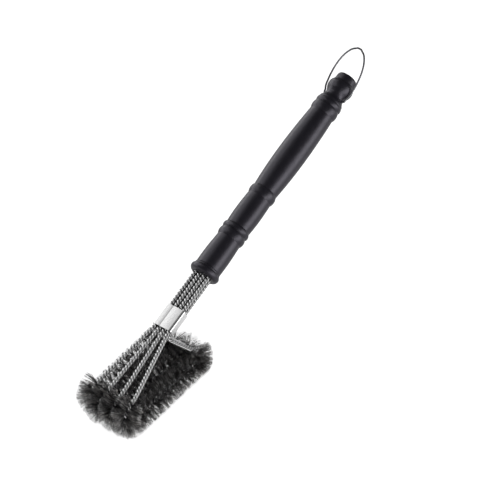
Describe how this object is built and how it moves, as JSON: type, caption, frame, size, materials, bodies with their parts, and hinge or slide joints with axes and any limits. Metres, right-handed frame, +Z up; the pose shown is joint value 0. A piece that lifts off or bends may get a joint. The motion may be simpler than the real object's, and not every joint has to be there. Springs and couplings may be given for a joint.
{
  "type": "grill cleaning brush",
  "caption": "Long-handled twisted-wire grill cleaning brush: looped bristle rows in a folded clamp, turned plastic grip, swinging wire hanging loop.",
  "frame": {"origin": "bottom centre of the bounding box: the level bristle rows touch z = 0 with their tips", "axes": "+X level, from the bristle rows towards the handle's end; +Y across the brush; +Z up, away from the bristle tips"},
  "size_m": [0.444, 0.0802, 0.2119],
  "materials": {
    "stem_wire": "bright drawn wire, satin",
    "bristle_wire": "fine crimped steel wire",
    "clamp_sheet": "polished folded sheet",
    "grip_plastic": "satin black",
    "loop_wire": "bright wire"
  },
  "bodies": {
    "brush": {"outer_left_wire_a": "stem_wire", "outer_left_wire_b": "stem_wire", "inner_left_wire_a": "stem_wire", "inner_left_wire_b": "stem_wire", "inner_right_wire_a": "stem_wire", "inner_right_wire_b": "stem_wire", "outer_right_wire_a": "stem_wire", "outer_right_wire_b": "stem_wire", "outer_left_bristles": "bristle_wire", "inner_left_bristles": "bristle_wire", "inner_right_bristles": "bristle_wire", "outer_right_bristles": "bristle_wire", "clamp_band": "clamp_sheet", "front_collar": "grip_plastic", "grip": "grip_plastic"},
    "loop": {"hang_loop": "loop_wire"}
  },
  "joints": [
    {"name": "loop_hinge", "type": "hinge", "parent": "brush", "child": "loop", "pos_m": [0.17755, 0, 0.17408], "axis": [0, -1, 0], "range_deg": [-164, 124]}
  ]
}
